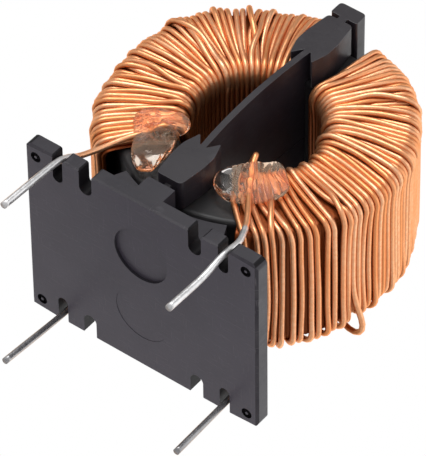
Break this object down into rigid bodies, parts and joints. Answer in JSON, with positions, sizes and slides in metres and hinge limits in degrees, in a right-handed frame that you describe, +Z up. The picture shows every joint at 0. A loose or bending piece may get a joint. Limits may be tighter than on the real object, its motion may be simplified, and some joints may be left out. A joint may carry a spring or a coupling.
{
  "type": "toroidal inductor",
  "caption": "Upright toroidal common-mode choke: two copper windings on a cased ring core, with a divider between them, on a slotted black base plate with tinned leads.",
  "frame": {"origin": "centre of the base plate's seating face, which meets the circuit board", "axes": "+X along the plate from the left winding to the right one, +Y along the ring's axis away from the glued front face, +Z up from the board; the leads point down"},
  "size_m": [0.048, 0.0342, 0.0648],
  "materials": {
    "base_plastic": "moulded, fine grain",
    "case_plastic": "moulded, smooth",
    "divider_plastic": "moulded, smooth",
    "ferrite": "sintered, matt",
    "enamelled_copper": "enamelled copper wire, glossy; tinned leads",
    "clear_glue": "clear, glossy"
  },
  "bodies": {
    "root": {"base_plate": "base_plastic", "ring_core": "ferrite", "core_case": "case_plastic", "core_case_lid": "case_plastic", "winding_left": "enamelled_copper", "winding_right": "enamelled_copper", "separator_front": "divider_plastic", "separator_back": "divider_plastic", "adhesive_left": "clear_glue", "adhesive_right": "clear_glue"}
  },
  "joints": []
}
